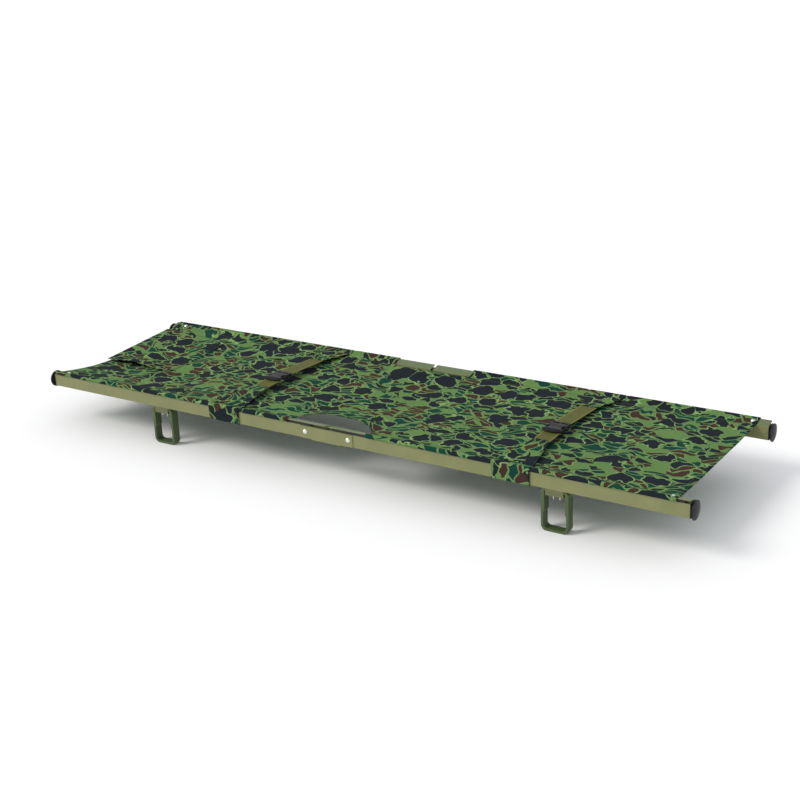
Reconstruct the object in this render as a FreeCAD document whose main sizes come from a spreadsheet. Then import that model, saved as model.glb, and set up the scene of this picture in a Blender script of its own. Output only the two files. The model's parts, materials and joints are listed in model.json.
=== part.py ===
import FreeCAD, Part
import math
import os

import Sketcher

# A stretcher that folds in half along its length and narrows to a bundle.
# Millimetres. +X runs to the foot end, +Y to the back rail, +Z up. The origin is on the
# ground in the middle of the four feet.

DIMENSIONS = {
    # how far a cutting tool reaches past what it cuts
    "cut_spare": 1,
    # rails
    "rail_end": 1090, "half_gap": 5, "outer_face": 300, "rail_width": 30,
    "wall": 2, "wall_height": 38, "flange_high": 48, "flange_low": 40, "flange_thick": 2,
    "channel_floor": 35, "channel_depth": 11.5,
    # legs and their brackets
    "leg_height": 122, "head_leg_x": 633, "foot_leg_x": 722, "leg_half_width": 40, "leg_depth": 26,
    "leg_arm_upper": 10, "leg_arm_lower": 7, "leg_step_low": 52, "leg_step_high": 57,
    "leg_sole": 7.5, "leg_top": 7, "leg_corner": 17, "leg_sole_corner": 11,
    "leg_top_corner": 4,
    "bracket_half_width": 26, "bracket_height": 19, "bracket_inset": 0.5, "bracket_fit": 0.3,
    "screw_spread": 9.5, "screw_radius": 2.7, "screw_hole": 2.8, "screw_point": 34, "screw_cone": 8,
    "screw_tip": 0.5, "screw_head": 4.5, "screw_head_high": 3, "screw_in_head": 0.5,
    # half-folding hinge links
    "link_pin_x": 75, "pin_rise": 20, "link_half_length": 91.5, "link_web_half": 53,
    "link_plate": 1.8, "link_clear": 0.3, "link_top": 37.5, "pin_radius": 4, "pin_hole": 4.05,
    "rivet_radius": 7.5, "rivet_dome": 4.5, "rivet_back": 6, "rivet_back_high": 2,
    # end caps
    "cap_collar": 3, "cap_neck": 5, "cap_neck_radius": 15, "cap_disc": 3, "cap_dome": 4,
    "cap_radius": 26, "cap_rise": 19, "cap_plug": 22, "cap_plug_clear": 0.5,
    # keder rods and hems
    "keder_radius": 4.2, "keder_in": 6.5, "keder_rise": 39.5, "keder_proud": 20,
    "head_keder_stop": 55, "foot_keder_stop": 20,
    "hem_under": 0.2, "hem_over": 1.4, "hem_low": 38.4, "hem_inner": 31,
    # canvas deck
    "head_canvas_end": 1078, "foot_canvas_end": 1056, "deck_half": 268.4, "deck_top": 41,
    "deck_thick": 2, "deck_split": 0.2, "head_sag": 26, "middle_sag": 6, "foot_sag": 3,
    "cutout_half": 138, "cutout_depth": 80,
    "pocket_front": 73, "pocket_back": 230, "pocket_inner": 800, "pocket_lift": 0.4,
    "pocket_thick": 1.6,
    "stud_in": 15, "stud_radius": 6, "stud_dome": 2.6, "stud_clear": 0.05, "stud_x": 1040,
    # patient straps
    "head_strap_x": 376, "foot_strap_x": 595, "sleeve_half": 57, "sleeve_under": 1.6,
    "sleeve_over": 3, "sleeve_tail": 37, "sleeve_tail_gap": 0.2,
    "web_half": 25, "web_thick": 1.6, "web_start": 31.6, "web_low": 42.2, "web_high": 57.5,
    "front_taper_end": 180, "back_taper_end": 130, "buckle_front": 235, "buckle_back": 300,
    "buckle_low": 53, "buckle_high": 64, "buckle_half": 30, "buckle_wall": 2.2,
    "socket_length": 44, "tongue_clear": 0.4, "window_length": 18, "window_start": 6,
    "window_depth": 7, "buckle_corner": 7, "bar_gap": 7, "bar_thick": 4, "slot_spare": 1,
    "prong_root": 8, "prong_tip": 6, "prong_back": 4,
    # spreader bars
    "spreader_x": 515, "pivot_in": 44, "arm_half_width": 9, "arm_thick": 6,
    "front_arm_rise": 12, "back_arm_rise": 5.5, "ear_thick": 2.5, "ear_gap": 0.3,
    "base_half_width": 20, "base_thick": 2.5, "base_margin": 3, "head_radius": 6,
    "head_high": 1.5, "open_pivot_hole": 4.35,
}

ENDS = {"head": -1, "foot": 1}
SIDES = {"front": -1, "back": 1}
SAG_STEPS = 8
ROUGH_RADIUS = 50    # of the first, unsolved outline of a sketch
TOUCH = 0.01

os.makedirs("parts", exist_ok=True)
doc = FreeCAD.newDocument("folding_stretcher")
size = doc.addObject("Spreadsheet::Sheet", "size")
for row, (alias, value) in enumerate(DIMENSIONS.items(), start=1):
    size.set(f"A{row}", alias)
    size.set(f"B{row}", str(value))
    size.setAlias(f"B{row}", alias)
doc.recompute()

nodes = {}


def keep(piece, label):
    """Name a finished sub-part, whose file takes the same name."""
    piece.Label = label
    nodes[label] = piece
    return piece


# ---- coordinates as text, so that every size stays bound to the sheet ----

def inward(side, distance):
    """Y of a point that lies a distance inside a rail's outer face."""
    return f"{side} * (size.outer_face - ({distance}))"


def above(rise):
    """Z of a point that lies a rise above the rails' underside."""
    return f"size.leg_height + ({rise})"


def flange_line(distance, lift="0"):
    """Z on the flange's sloping top, a distance inside the outer face."""
    slope = "(size.flange_high - size.flange_low) / size.rail_width"
    return above(f"size.flange_high - {slope} * ({distance}) + ({lift})")


# ---- helpers for PartDesign bodies ----

def make_body(label):
    return keep(doc.addObject("PartDesign::Body", "Body_" + label), label)


def draw(body, role, offset="0"):
    """A sketch on one of a body's own origin planes, moved along its normal."""
    plane = next(item for item in body.Origin.OriginFeatures if item.Role == role)
    drawing = body.newObject("Sketcher::SketchObject", "Sketch_" + body.Label)
    drawing.AttachmentSupport = [(plane, "")]
    drawing.MapMode = "FlatFace"
    drawing.setExpression("AttachmentOffset.Base.z", offset)
    return drawing


def place_point(drawing, line, across, up):
    """Hold the start of a line at a place given from the sketch's origin."""
    for kind, text in (("DistanceX", across), ("DistanceY", up)):
        index = drawing.addConstraint(Sketcher.Constraint(kind, -1, 1, line, 1, 1.0))
        drawing.setExpression(f"Constraints[{index}]", text)


def outline(drawing, points):
    """A closed outline of straight lines through points given as text."""
    first = drawing.GeometryCount
    count = len(points)
    rough = [FreeCAD.Vector(math.cos(turn), math.sin(turn), 0) * ROUGH_RADIUS
             for turn in (2 * math.pi * i / count for i in range(count))]
    for i in range(count):
        drawing.addGeometry(Part.LineSegment(rough[i], rough[(i + 1) % count]))
    for i in range(count):
        following = first + (i + 1) % count
        drawing.addConstraint(Sketcher.Constraint("Coincident", first + i, 2, following, 1))
    for i, (across, up) in enumerate(points):
        place_point(drawing, first + i, across, up)


def rectangle(drawing, low, high):
    outline(drawing, [low, (high[0], low[1]), high, (low[0], high[1])])


def circle(drawing, across, up, radius):
    index = drawing.addGeometry(Part.Circle(FreeCAD.Vector(1, 1, 0), FreeCAD.Vector(0, 0, 1), 1))
    for kind, text in (("DistanceX", across), ("DistanceY", up)):
        held = drawing.addConstraint(Sketcher.Constraint(kind, -1, 1, index, 3, 1.0))
        drawing.setExpression(f"Constraints[{held}]", text)
    held = drawing.addConstraint(Sketcher.Constraint("Radius", index, 1.0))
    drawing.setExpression(f"Constraints[{held}]", radius)


def pad(body, drawing, length, middle=False):
    feature = body.newObject("PartDesign::Pad", "Pad_" + body.Label)
    feature.Profile = drawing
    feature.setExpression("Length", length)
    feature.Midplane = middle
    drawing.Visibility = False
    return feature


def pocket(body, drawing, length=None, upward=False):
    """Cut a body: right through both ways, or by a length to one side. The cut must remove something."""
    doc.recompute()
    before = body.Shape.Volume
    feature = body.newObject("PartDesign::Pocket", "Pocket_" + body.Label)
    feature.Profile = drawing
    if length is None:
        feature.Type = "ThroughAll"
        feature.Midplane = True
    else:
        feature.setExpression("Length", length)
        feature.Reversed = upward
    drawing.Visibility = False
    doc.recompute()
    if body.Shape.Volume >= before:
        raise ValueError("a pocket cut nothing from " + body.Label)
    return feature


def fillet(body, radius, wanted):
    """Round the edges of a body's last feature that a test picks out."""
    doc.recompute()
    base = body.Tip
    names = [f"Edge{i + 1}" for i, edge in enumerate(base.Shape.Edges) if wanted(edge)]
    feature = body.newObject("PartDesign::Fillet", "Fillet_" + body.Label)
    feature.Base = (base, names)
    feature.setExpression("Radius", radius)
    return feature


def along_y(edge):
    """True for a straight edge that runs along Y."""
    start, end = edge.Vertexes[0].Point, edge.Vertexes[-1].Point
    level = abs(end.x - start.x) < TOUCH and abs(end.z - start.z) < TOUCH
    return level and abs(end.y - start.y) > TOUCH


# ---- helpers for Part primitives ----

def set_place(piece, x, y, z):
    for letter, text in (("x", x), ("y", y), ("z", z)):
        piece.setExpression("Placement.Base." + letter, text)


def turned(direction):
    return FreeCAD.Rotation(FreeCAD.Vector(0, 0, 1), FreeCAD.Vector(*direction))


def cylinder(radius, length, place, direction=(0, 0, 1)):
    piece = doc.addObject("Part::Cylinder", "Cylinder")
    piece.setExpression("Radius", radius)
    piece.setExpression("Height", length)
    piece.Placement.Rotation = turned(direction)
    set_place(piece, *place)
    return piece


def cone(low_radius, high_radius, length, place):
    piece = doc.addObject("Part::Cone", "Cone")
    piece.setExpression("Radius1", low_radius)
    piece.setExpression("Radius2", high_radius)
    piece.setExpression("Height", length)
    set_place(piece, *place)
    return piece


def box(low, lengths):
    piece = doc.addObject("Part::Box", "Box")
    for prop, text in zip(("Length", "Width", "Height"), lengths):
        piece.setExpression(prop, text)
    set_place(piece, *low)
    return piece


def dome(radius, rise, place, direction, tilt=None):
    """The cap of a sphere, standing on a circle of a radius and as high as its rise."""
    ball = f"(({radius})^2 + ({rise})^2) / (2 * ({rise}))"
    piece = doc.addObject("Part::Sphere", "Dome")
    piece.setExpression("Radius", ball)
    piece.setExpression("Angle1", f"asin(({ball} - ({rise})) / ({ball}))")
    piece.Angle2 = 90
    rotation = tilt if tilt else turned(direction)
    piece.Placement.Rotation = rotation
    shift = rotation.multVec(FreeCAD.Vector(0, 0, 1))
    for letter, text, part in zip("xyz", place, shift):
        piece.setExpression("Placement.Base." + letter, f"{text} - {part:.9f} * ({ball} - ({rise}))")
    return piece


def fuse(pieces):
    joined = doc.addObject("Part::MultiFuse", "Fuse")
    joined.Shapes = pieces
    joined.Refine = True
    return joined


def cut(base, tool):
    piece = doc.addObject("Part::Cut", "Cut")
    piece.Base = base
    piece.Tool = tool
    return piece


def group(pieces):
    together = doc.addObject("Part::Compound", "Group")
    together.Links = pieces
    return together


# ---- one quarter: half a rail, with what is fixed to it ----

def make_rail(name, end, side):
    """Hollow extrusion with a fabric channel that opens along its top outer edge."""
    body = make_body(name + "_rail")
    start = "size.half_gap" if end > 0 else "-size.rail_end"
    drawing = draw(body, "YZ_Plane", start)
    under = "-size.flange_thick"
    outer = [("0", above("0")), ("size.rail_width", above("0")),
             ("size.rail_width", above("size.flange_low")), ("0", above("size.flange_high")),
             ("0", above("size.flange_high - size.flange_thick")),
             ("size.channel_depth", flange_line("size.channel_depth", under)),
             ("size.channel_depth", above("size.channel_floor")),
             ("size.wall", above("size.channel_floor")), ("size.wall", above("size.wall_height")),
             ("0", above("size.wall_height"))]
    right, left = "size.rail_width - size.wall", "size.channel_depth + size.wall"
    ceiling = above("size.channel_floor - size.wall")
    inner = [("size.wall", above("size.wall")), (right, above("size.wall")),
             (right, flange_line(right, under)), (left, flange_line(left, under)),
             (left, ceiling), ("size.wall", ceiling)]
    for loop in (outer, inner):
        outline(drawing, [(inward(side, distance), up) for distance, up in loop])
    pad(body, drawing, "size.rail_end - size.half_gap")

    hinge = draw(body, "XZ_Plane")
    circle(hinge, f"{end} * size.link_pin_x", above("size.pin_rise"), "size.pin_hole")
    pocket(body, hinge)
    drill_screw_holes(body, name, end, side, "size.leg_height - size.cut_spare",
                      "size.wall + 2 * size.cut_spare", True)


def leg_place(name, end):
    return f"{end} * size.{name.split('_')[0]}_leg_x"


def drill_screw_holes(body, name, end, side, level, depth, upward):
    """The two vertical holes that a leg's screws pass through."""
    drawing = draw(body, "XY_Plane", level)
    for step in (-1, 1):
        across = f"{leg_place(name, end)} + {step} * size.screw_spread"
        circle(drawing, across, inward(side, "size.rail_width / 2"), "size.screw_hole")
    pocket(body, drawing, depth, upward)


def make_leg(name, end, side):
    """A closed loop of flat bar, thicker on the inside over the upper part of its arms."""
    body = make_body(name + "_leg")
    middle = leg_place(name, end)
    drawing = draw(body, "XZ_Plane", f"-({inward(side, 'size.rail_width / 2')})")
    half = "size.leg_half_width"
    rectangle(drawing, (f"{middle} - {half}", "0"), (f"{middle} + {half}", "size.leg_height"))
    wide, narrow = f"({half} - size.leg_arm_lower)", f"({half} - size.leg_arm_upper)"
    right = [(wide, "size.leg_sole"), (wide, "size.leg_step_low"), (narrow, "size.leg_step_high"),
             (narrow, "size.leg_height - size.leg_top")]
    loop = [(f"{middle} + {reach}", up) for reach, up in right]
    loop += [(f"{middle} - {reach}", up) for reach, up in reversed(right)]
    outline(drawing, loop)
    pad(body, drawing, "size.leg_depth", middle=True)
    drill_screw_holes(body, name, end, side, "size.leg_height + size.cut_spare",
                      "size.leg_top + 2 * size.cut_spare", False)

    centre = end * DIMENSIONS[name.split("_")[0] + "_leg_x"]
    outside, high = DIMENSIONS["leg_half_width"], DIMENSIONS["leg_height"]
    outer_corners = [(outside, 0), (outside, high)]
    sole_corners = [(outside - DIMENSIONS["leg_arm_lower"], DIMENSIONS["leg_sole"])]
    top_corners = [(outside - DIMENSIONS["leg_arm_upper"], high - DIMENSIONS["leg_top"])]
    for radius, corners in (("size.leg_corner", outer_corners), ("size.leg_sole_corner", sole_corners),
                            ("size.leg_top_corner", top_corners)):
        fillet(body, radius, lambda edge: along_y(edge) and any(
            abs(abs(edge.Vertexes[0].X - centre) - across) < TOUCH
            and abs(edge.Vertexes[0].Z - up) < TOUCH for across, up in corners))


def make_leg_bracket(name, end, side):
    """A saddle under the rail that grips the top bar of the leg from below."""
    body = make_body(name + "_leg_bracket")
    drawing = draw(body, "YZ_Plane", f"{leg_place(name, end)} - size.bracket_half_width")
    low, seat = above("-size.bracket_height"), above("-size.leg_top - size.bracket_fit")
    middle, grip = "size.rail_width / 2", "(size.leg_depth / 2 + size.bracket_fit)"
    near, far = "size.bracket_inset", "size.rail_width - size.bracket_inset"
    loop = [(near, low), (far, low), (far, above("0")), (f"{middle} + {grip}", above("0")),
            (f"{middle} + {grip}", seat), (f"{middle} - {grip}", seat),
            (f"{middle} - {grip}", above("0")), (near, above("0"))]
    outline(drawing, [(inward(side, distance), up) for distance, up in loop])
    pad(body, drawing, "2 * size.bracket_half_width")
    drill_screw_holes(body, name, end, side, "size.leg_height - size.bracket_height - size.cut_spare",
                      "size.bracket_height + 2 * size.cut_spare", True)


def make_fasteners(name, end, side):
    """The two pointed screws of a leg, and the domed stud at the canvas corner."""
    pieces = []
    y = inward(side, "size.rail_width / 2")
    for step in (-1, 1):
        x = f"{leg_place(name, end)} + {step} * size.screw_spread"
        point = above("-size.screw_point")
        shoulder = above("-size.screw_point + size.screw_cone")
        seat = above("size.wall")
        tip = cone("size.screw_tip", "size.screw_radius", "size.screw_cone", (x, y, point))
        grip = "size.screw_point - size.screw_cone + size.wall + size.screw_in_head"
        shank = cylinder("size.screw_radius", grip, (x, y, shoulder))
        head = cylinder("size.screw_head", "size.screw_head_high", (x, y, seat))
        pieces.append(fuse([tip, shank, head]))
    fall = math.atan2(DIMENSIONS["flange_high"] - DIMENSIONS["flange_low"], DIMENSIONS["rail_width"])
    lean = FreeCAD.Rotation(FreeCAD.Vector(1, 0, 0), side * math.degrees(fall))
    place = (f"{end} * size.stud_x", inward(side, "size.stud_in"),
             flange_line("size.stud_in", "size.hem_over + size.stud_clear"))
    pieces.append(dome("size.stud_radius", "size.stud_dome", place, None, lean))
    keep(group(pieces), name + "_fasteners")


def make_end_cap(name, end, side):
    """A plug with a collar against the rail's end, a neck and a domed disc."""
    direction = (end, 0, 0)
    y, z = inward(side, "size.rail_width / 2"), above("size.cap_rise")
    clear = "(size.wall + size.cap_plug_clear)"
    width = f"size.rail_width - 2 * {clear}"
    near = inward(side, clear) if side < 0 else inward(side, f"size.rail_width - {clear}")
    back = "size.rail_end - size.cap_plug" if end > 0 else "-size.rail_end"
    plug = box((back, near, above(clear)),
               ("size.cap_plug", width, f"size.channel_floor - size.wall - size.cap_plug_clear - {clear}"))
    collar_back = "size.rail_end" if end > 0 else "-size.rail_end - size.cap_collar"
    collar_near = inward(side, "0") if side < 0 else inward(side, "size.rail_width")
    collar = box((collar_back, collar_near, above("0")),
                 ("size.cap_collar", "size.rail_width", "size.flange_low"))
    neck_x = f"{end} * (size.rail_end + size.cap_collar)"
    neck = cylinder("size.cap_neck_radius", "size.cap_neck", (neck_x, y, z), direction)
    disc_x = f"{end} * (size.rail_end + size.cap_collar + size.cap_neck)"
    disc = cylinder("size.cap_radius", "size.cap_disc", (disc_x, y, z), direction)
    dome_x = f"{end} * (size.rail_end + size.cap_collar + size.cap_neck + size.cap_disc)"
    crown = dome("size.cap_radius", "size.cap_dome", (dome_x, y, z), direction)
    keep(fuse([plug, collar, neck, disc, crown]), name + "_end_cap")


def make_keder_rod(name, end, side):
    """The rod that locks the canvas hem into the rail's channel."""
    stop, far = f"size.{name.split('_')[0]}_keder_stop", f"size.{name.split('_')[0]}_canvas_end"
    length = f"min({far} + size.keder_proud; size.rail_end) - {stop}"
    start = stop if end > 0 else f"-{stop}"
    place = (start, inward(side, "size.keder_in"), above("size.keder_rise"))
    keep(cylinder("size.keder_radius", length, place, (end, 0, 0)), name + "_keder_rod")


def make_hem(name, end, side):
    """The canvas edge that comes out of the channel and lies on the rail's sloping flange."""
    body = make_body(name + "_canvas_hem")
    far = f"size.{name.split('_')[0]}_canvas_end"
    drawing = draw(body, "YZ_Plane", "size.cutout_half" if end > 0 else f"-{far}")
    over, under = "size.hem_over", "size.hem_under"
    loop = [(f"-{over}", above("size.hem_low")), (f"-{over}", flange_line(f"-{over}", over)),
            ("size.hem_inner", flange_line("size.hem_inner", over)),
            ("size.hem_inner", flange_line("size.hem_inner", under)),
            (f"-{under}", flange_line(f"-{under}", under)), (f"-{under}", above("size.hem_low"))]
    outline(drawing, [(inward(side, distance), up) for distance, up in loop])
    pad(body, drawing, f"{far} - size.cutout_half")


# ---- the link that joins the two halves of a rail ----

def make_link(side_name, side):
    """A channel round the rail from below, with a short web between its two pivots."""
    body = make_body(side_name + "_hinge_link")
    drawing = draw(body, "YZ_Plane", "-size.link_half_length")
    gap, plate = "size.link_clear", "(size.link_clear + size.link_plate)"
    width = "size.rail_width"
    loop = [(f"-{plate}", above(f"-{plate}")), (f"{width} + {plate}", above(f"-{plate}")),
            (f"{width} + {plate}", above("size.link_top")), (f"{width} + {gap}", above("size.link_top")),
            (f"{width} + {gap}", above(f"-{gap}")), (f"-{gap}", above(f"-{gap}")),
            (f"-{gap}", above("size.link_top")), (f"-{plate}", above("size.link_top"))]
    outline(drawing, [(inward(side, distance), up) for distance, up in loop])
    pad(body, drawing, "2 * size.link_half_length")

    relief = draw(body, "XZ_Plane")
    for end in ENDS.values():
        rectangle(relief, (f"{end} * size.link_web_half", above(f"-{plate} - size.cut_spare")),
                  (f"{end} * (size.link_half_length + size.cut_spare)", above("0")))
    pocket(body, relief)
    holes = draw(body, "XZ_Plane")
    for end in ENDS.values():
        circle(holes, f"{end} * size.link_pin_x", above("size.pin_rise"), "size.pin_hole")
    pocket(body, holes)


def make_link_rivets(side_name, side):
    """The two pivot rivets of a link, domed outside and flat inside."""
    plate = "(size.link_clear + size.link_plate)"
    rivets = []
    for end in ENDS.values():
        x, z = f"{end} * size.link_pin_x", above("size.pin_rise")
        outside = (x, inward(side, f"-{plate}"), z)
        inside = (x, inward(side, f"size.rail_width + {plate}"), z)
        shank = cylinder("size.pin_radius", f"size.rail_width + 2 * {plate}", outside, (0, -side, 0))
        flat = cylinder("size.rivet_back", "size.rivet_back_high", inside, (0, -side, 0))
        crown = dome("size.rivet_radius", "size.rivet_dome", outside, (0, side, 0))
        rivets.append(fuse([shank, flat, crown]))
    keep(group(rivets), side_name + "_link_rivets")


# ---- the spreader bars under the canvas ----

def pivot_y(side):
    return inward(side, "size.pivot_in")


def make_spreader_bracket(name, end, side, arm_rise):
    """A plate on the rail's inner face with two ears above and below the arm."""
    x = f"{end} * size.spreader_x"
    lower = above(f"{arm_rise} - size.ear_gap - size.ear_thick")
    upper = above(f"{arm_rise} + size.arm_thick + size.ear_gap")
    face = inward(side, "size.rail_width")
    reach = "size.pivot_in - size.rail_width"
    near = face if side < 0 else f"{face} - ({reach})"
    ears = []
    for level in (lower, upper):
        tab = box((f"{x} - size.arm_half_width", near, level),
                  ("2 * size.arm_half_width", reach, "size.ear_thick"))
        ears += [tab, cylinder("size.arm_half_width", "size.ear_thick", (x, pivot_y(side), level))]
    plate_near = face if side < 0 else f"{face} - size.base_thick"
    tall = "size.arm_thick + 2 * (size.ear_gap + size.ear_thick)"
    plate = box((f"{x} - size.base_half_width", plate_near, lower),
                ("2 * size.base_half_width", "size.base_thick", f"{tall} + size.base_margin"))
    solid = fuse(ears + [plate])
    hole = cylinder("size.pin_radius", tall + " + 2 * size.cut_spare",
                    (x, pivot_y(side), lower + " - size.cut_spare"))
    keep(cut(solid, hole), name + "_spreader_bracket")

    start = lower + " - size.head_high"
    shank = cylinder("size.pin_radius", tall, (x, pivot_y(side), lower))
    low_head = cylinder("size.head_radius", "size.head_high", (x, pivot_y(side), start))
    high_head = cylinder("size.head_radius", "size.head_high",
                         (x, pivot_y(side), upper + " + size.ear_thick"))
    keep(fuse([shank, low_head, high_head]), name + "_arm_pin")


def make_arm(name, end, side, arm_rise, rail_hole):
    """A flat arm from a rail's pivot to the knuckle in the middle."""
    x, z = f"{end} * size.spreader_x", above(arm_rise)
    low_y = pivot_y(side) if side < 0 else "0"
    bar = box((f"{x} - size.arm_half_width", low_y, z),
              ("2 * size.arm_half_width", "size.outer_face - size.pivot_in", "size.arm_thick"))
    rail_eye = cylinder("size.arm_half_width", "size.arm_thick", (x, pivot_y(side), z))
    knuckle_eye = cylinder("size.arm_half_width", "size.arm_thick", (x, "0", z))
    solid = fuse([bar, rail_eye, knuckle_eye])
    deep, start = "size.arm_thick + 2 * size.cut_spare", z + " - size.cut_spare"
    holes = group([cylinder(rail_hole, deep, (x, pivot_y(side), start)),
                   cylinder("size.pin_hole", deep, (x, "0", start))])
    keep(cut(solid, holes), name)


def make_knuckle_pin(name, end):
    """The pin that joins the two arms of a spreader bar."""
    x = f"{end} * size.spreader_x"
    low = above("size.back_arm_rise - size.ear_gap")
    tall = "size.front_arm_rise + size.arm_thick - size.back_arm_rise + 2 * size.ear_gap"
    shank = cylinder("size.pin_radius", tall, (x, "0", low))
    low_head = cylinder("size.head_radius", "size.head_high", (x, "0", low + " - size.head_high"))
    high_head = cylinder("size.head_radius", "size.head_high", (x, "0", low + " + " + tall))
    keep(fuse([shank, low_head, high_head]), name + "_knuckle_pin")


# ---- the canvas ----

def sagging_strip(drawing, front, back, sag, high, thick):
    """A thin strip across the stretcher that hangs in a parabola between the rails."""
    across = [f"({front} + ({back} - {front}) * {step} / {SAG_STEPS})" for step in range(SAG_STEPS + 1)]
    top = [(y, above(f"{high} - ({sag}) * (1 - ({y} / size.deck_half)^2)")) for y in across]
    under = [(y, f"{up} - {thick}") for y, up in reversed(top)]
    outline(drawing, top + under)


def sagging_panel(label, stations, front, back, high, thick):
    """A panel lofted between two strips, each at its own place and with its own sag."""
    body = doc.addObject("PartDesign::Body", "Body_" + label)
    body.Label = label + "_blank"
    drawings = []
    for x, sag in stations:
        drawing = draw(body, "YZ_Plane", x)
        sagging_strip(drawing, front, back, sag, high, thick)
        drawings.append(drawing)
    doc.recompute()
    loft = body.newObject("PartDesign::AdditiveLoft", "Loft_" + label)
    loft.Profile = drawings[0]
    loft.Sections = drawings[1:]
    loft.Ruled = True
    return body


def hand_cutouts():
    """Half-round cutters at both rails, in the middle of the stretcher's length."""
    cutters = []
    for side in SIDES.values():
        ring = doc.addObject("Part::Ellipse", "Oval")
        ring.setExpression("MajorRadius", "size.cutout_half")
        ring.setExpression("MinorRadius", "size.cutout_depth")
        set_place(ring, "0", inward(side, "0"), above("0"))
        cutter = doc.addObject("Part::Extrusion", "Cutter")
        cutter.Base = ring
        cutter.DirMode = "Custom"
        cutter.Dir = FreeCAD.Vector(0, 0, 1)
        cutter.setExpression("LengthFwd", "2 * size.flange_high")
        cutter.Solid = True
        cutters.append(cutter)
    return group(cutters)


def make_canvas():
    edge = "(size.link_pin_x + size.deck_split)"
    near_edge = "(size.link_pin_x - size.deck_split)"
    panels = {
        "canvas_head": [("-size.head_canvas_end", "size.head_sag"), (f"-{edge}", "size.middle_sag")],
        "canvas_middle": [(f"-{near_edge}", "size.middle_sag"), (near_edge, "size.middle_sag")],
        "canvas_foot": [(edge, "size.middle_sag"), ("size.foot_canvas_end", "size.foot_sag")],
    }
    for label, stations in panels.items():
        blank = sagging_panel(label, stations, "(-size.deck_half)", "size.deck_half",
                              "size.deck_top", "size.deck_thick")
        keep(cut(blank, hand_cutouts()), label)

    run = "(size.head_canvas_end - size.link_pin_x)"
    inner_sag = (f"size.middle_sag + (size.head_sag - size.middle_sag)"
                 f" * (size.pocket_inner - size.link_pin_x) / {run}")
    patch = sagging_panel("pillow_pocket",
                          [("-size.head_canvas_end", "size.head_sag"), ("-size.pocket_inner", inner_sag)],
                          "(-size.pocket_front)", "size.pocket_back",
                          "size.deck_top + size.pocket_lift + size.pocket_thick", "size.pocket_thick")
    keep(patch, "pillow_pocket")


# ---- the patient straps ----

def make_sleeve(name, end_name, end, side):
    """The canvas wrap round a rail that a strap hangs on."""
    body = make_body(name)
    drawing = draw(body, "YZ_Plane", f"{end} * size.{end_name}_strap_x - size.sleeve_half")
    over, under, gap = "size.sleeve_over", "size.sleeve_under", "size.sleeve_tail_gap"
    skin = "(size.sleeve_over - size.sleeve_under)"
    width, inner = "size.rail_width", "size.hem_inner"
    loop = [(inner, flange_line(inner, over)), (f"-{over}", flange_line(f"-{over}", over)),
            (f"-{over}", above(f"-{gap} - {skin}")),
            (f"{width} + {gap} + {skin}", above(f"-{gap} - {skin}")),
            (f"{width} + {gap} + {skin}", above("size.sleeve_tail")),
            (f"{width} + {gap}", above("size.sleeve_tail")), (f"{width} + {gap}", above(f"-{gap}")),
            (f"-{under}", above(f"-{gap}")), (f"-{under}", flange_line(f"-{under}", under)),
            (inner, flange_line(inner, under))]
    outline(drawing, [(inward(side, distance), up) for distance, up in loop])
    pad(body, drawing, "2 * size.sleeve_half")


def web_half(label, end_name, end, side, taper_end, stop):
    """One length of strap: a sleeve's wide end that narrows to webbing and climbs to the buckle."""
    middle = f"{end} * size.{end_name}_strap_x"
    body = doc.addObject("PartDesign::Body", "Body_" + label)
    body.Label = label
    drawing = draw(body, "YZ_Plane", f"{middle} - size.sleeve_half")
    ends = (("size.web_start", "size.web_low"), (stop, "size.web_high"))
    loop = [(inward(side, reach), above(rise)) for reach, rise in ends]
    loop += [(inward(side, reach), above(f"{rise} + size.web_thick")) for reach, rise in reversed(ends)]
    outline(drawing, loop)
    pad(body, drawing, "2 * size.sleeve_half")
    trim = draw(body, "XY_Plane", above("size.web_low - size.cut_spare"))
    for way in (-1, 1):
        wide = f"{middle} + {way} * size.sleeve_half"
        spare = f"{middle} + {way} * (size.sleeve_half + size.cut_spare)"
        slim = f"{middle} + {way} * size.web_half"
        past = f"{stop} + size.cut_spare"
        outline(trim, [(wide, inward(side, "size.web_start")), (slim, inward(side, taper_end)),
                       (slim, inward(side, past)), (spare, inward(side, past)),
                       (spare, inward(side, "size.web_start"))])
    pocket(body, trim, "size.web_high", upward=True)
    return body


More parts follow.
